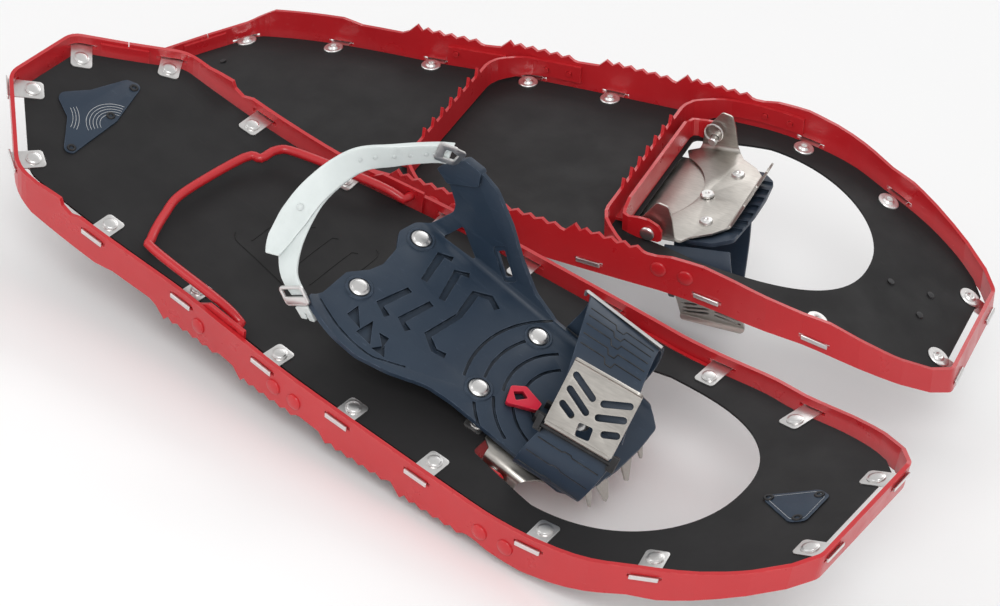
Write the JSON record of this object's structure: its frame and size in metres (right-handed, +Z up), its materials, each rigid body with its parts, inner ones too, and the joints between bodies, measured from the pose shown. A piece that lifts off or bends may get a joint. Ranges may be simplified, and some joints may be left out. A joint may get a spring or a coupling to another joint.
{
  "type": "pair of snowshoes",
  "caption": "Pair of framed snowshoes: sheet-metal rail with teeth, clipped deck, crossbars, crampon, pivoting binding, heel lifter; one upright, one turned over.",
  "frame": {"origin": "On the ground, below the middle of the box around both shoes. The ground is the plane the posed pair stands on.", "axes": "+X along the length of the upright right shoe towards its tip, levelled to the ground; +Y across towards the turned-over left shoe; +Z up."},
  "size_m": [0.6934, 0.452, 0.1816],
  "materials": {
    "red_paint": "glossy red coat",
    "deck_black": "smooth black coated cloth",
    "bright_steel": "polished",
    "brushed_steel": "brushed, worn",
    "slate_plastic": "moulded slate blue",
    "pale_rubber": "translucent pale",
    "lever_red": "moulded red",
    "black_plastic": "black"
  },
  "bodies": {
    "right_frame_body": {"right_frame": "red_paint", "right_tail_splice": "red_paint", "right_deck": "deck_black", "right_tail_badge": "slate_plastic", "right_tip_badge": "slate_plastic", "right_rear_crossbar": "red_paint", "right_front_crossbar": "red_paint", "right_inner_lifter_bracket": "red_paint", "right_outer_lifter_bracket": "red_paint", "right_inner_pivot_pin": "bright_steel", "right_outer_pivot_pin": "bright_steel", "right_split_ring": "bright_steel"},
    "right_lifter_body": {"right_heel_lifter": "red_paint"},
    "right_crampon_body": {"right_crampon_plate": "brushed_steel", "right_axis_rivet": "bright_steel"},
    "right_base_body": {"right_axis_plate": "brushed_steel", "right_binding_base": "slate_plastic", "right_heel_plate": "brushed_steel", "right_inner_heel_rivet": "bright_steel", "right_outer_heel_rivet": "bright_steel", "right_inner_toe_rivet": "bright_steel", "right_outer_toe_rivet": "bright_steel", "right_outer_toe_strap": "slate_plastic", "right_inner_toe_strap": "slate_plastic", "right_buckle_hinge": "black_plastic"},
    "right_lever_body": {"right_axis_lever": "lever_red"},
    "right_toe_buckle_body": {"right_toe_buckle": "brushed_steel"},
    "right_heel_strap_body": {"right_heel_strap": "pale_rubber", "right_heel_buckle": "bright_steel", "right_heel_hook": "bright_steel"},
    "left_frame_body": {"left_frame": "red_paint", "left_tail_splice": "red_paint", "left_deck": "deck_black", "left_tail_badge": "slate_plastic", "left_tip_badge": "slate_plastic", "left_rear_crossbar": "red_paint", "left_front_crossbar": "red_paint", "left_inner_lifter_bracket": "red_paint", "left_outer_lifter_bracket": "red_paint", "left_inner_pivot_pin": "bright_steel", "left_outer_pivot_pin": "bright_steel", "left_split_ring": "bright_steel"},
    "left_lifter_body": {"left_heel_lifter": "red_paint"},
    "left_crampon_body": {"left_crampon_plate": "brushed_steel", "left_axis_rivet": "bright_steel"},
    "left_base_body": {"left_axis_plate": "brushed_steel", "left_binding_base": "slate_plastic", "left_heel_plate": "brushed_steel", "left_inner_heel_rivet": "bright_steel", "left_outer_heel_rivet": "bright_steel", "left_inner_toe_rivet": "bright_steel", "left_outer_toe_rivet": "bright_steel", "left_outer_toe_strap": "slate_plastic", "left_inner_toe_strap": "slate_plastic", "left_buckle_hinge": "black_plastic"},
    "left_lever_body": {"left_axis_lever": "lever_red"},
    "left_toe_buckle_body": {"left_toe_buckle": "brushed_steel"},
    "left_heel_strap_body": {"left_heel_strap": "pale_rubber", "left_heel_buckle": "bright_steel", "left_heel_hook": "bright_steel"}
  },
  "joints": [
    {"name": "right_binding_pitch", "type": "hinge", "parent": "right_frame_body", "child": "right_crampon_body", "pos_m": [0.13236, -0.12307, 0.04752], "axis": [0.0188, 0.9677, 0.2513], "range_deg": [-9, 58]},
    {"name": "right_toe_angle", "type": "hinge", "parent": "right_crampon_body", "child": "right_base_body", "pos_m": [0.14829, -0.12218, 0.04292], "axis": [0.2814, -0.2463, 0.9274], "range_deg": [-6, 6]},
    {"name": "right_heel_lifter", "type": "hinge", "parent": "right_frame_body", "child": "right_lifter_body", "pos_m": [-0.04492, -0.12627, 0.07313], "axis": [0.0188, 0.9677, 0.2513], "range_deg": [0, 88]},
    {"name": "right_angle_lever", "type": "hinge", "parent": "right_base_body", "child": "right_lever_body", "pos_m": [0.13221, -0.13433, 0.06107], "axis": [-0.2681, 0.9078, 0.3225], "range_deg": [0, 60]},
    {"name": "right_toe_buckle", "type": "hinge", "parent": "right_base_body", "child": "right_toe_buckle_body", "pos_m": [0.17979, -0.18276, 0.07792], "axis": [0.9868, 0.1127, -0.1161], "range_deg": [0, 100]},
    {"name": "right_heel_strap", "type": "hinge", "parent": "right_base_body", "child": "right_heel_strap_body", "pos_m": [-0.0176, -0.19965, 0.09101], "axis": [0.9594, 0.0533, -0.2769], "range_deg": [0, 45]},
    {"name": "left_binding_pitch", "type": "hinge", "parent": "left_frame_body", "child": "left_crampon_body", "pos_m": [0.07054, 0.10953, 0.10935], "axis": [0.1931, -0.9605, -0.2004], "range_deg": [-2, 65]},
    {"name": "left_toe_angle", "type": "hinge", "parent": "left_crampon_body", "child": "left_base_body", "pos_m": [0.08657, 0.11201, 0.11288], "axis": [-0.1746, -0.2346, 0.9563], "range_deg": [-6, 6]},
    {"name": "left_heel_lifter", "type": "hinge", "parent": "left_frame_body", "child": "left_lifter_body", "pos_m": [-0.10292, 0.08204, 0.07399], "axis": [0.1931, -0.9605, -0.2004], "range_deg": [0, 88]},
    {"name": "left_angle_lever", "type": "hinge", "parent": "left_base_body", "child": "left_lever_body", "pos_m": [0.07032, 0.10524, 0.09225], "axis": [0.4722, -0.8722, -0.1278], "range_deg": [0, 60]},
    {"name": "left_toe_buckle", "type": "hinge", "parent": "left_base_body", "child": "left_toe_buckle_body", "pos_m": [0.1226, 0.08051, 0.05292], "axis": [-0.9568, -0.2754, -0.0935], "range_deg": [0, 100]},
    {"name": "left_heel_strap", "type": "hinge", "parent": "left_base_body", "child": "left_heel_strap_body", "pos_m": [-0.06823, 0.02618, 0.04579], "axis": [-0.9655, -0.1496, -0.213], "range_deg": [0, 45]},
    {"name": "left_shoe_lift", "type": "slide", "parent": "right_frame_body", "child": "left_frame_body", "axis": [0, 0, 1], "range_m": [0, 0.25]}
  ]
}
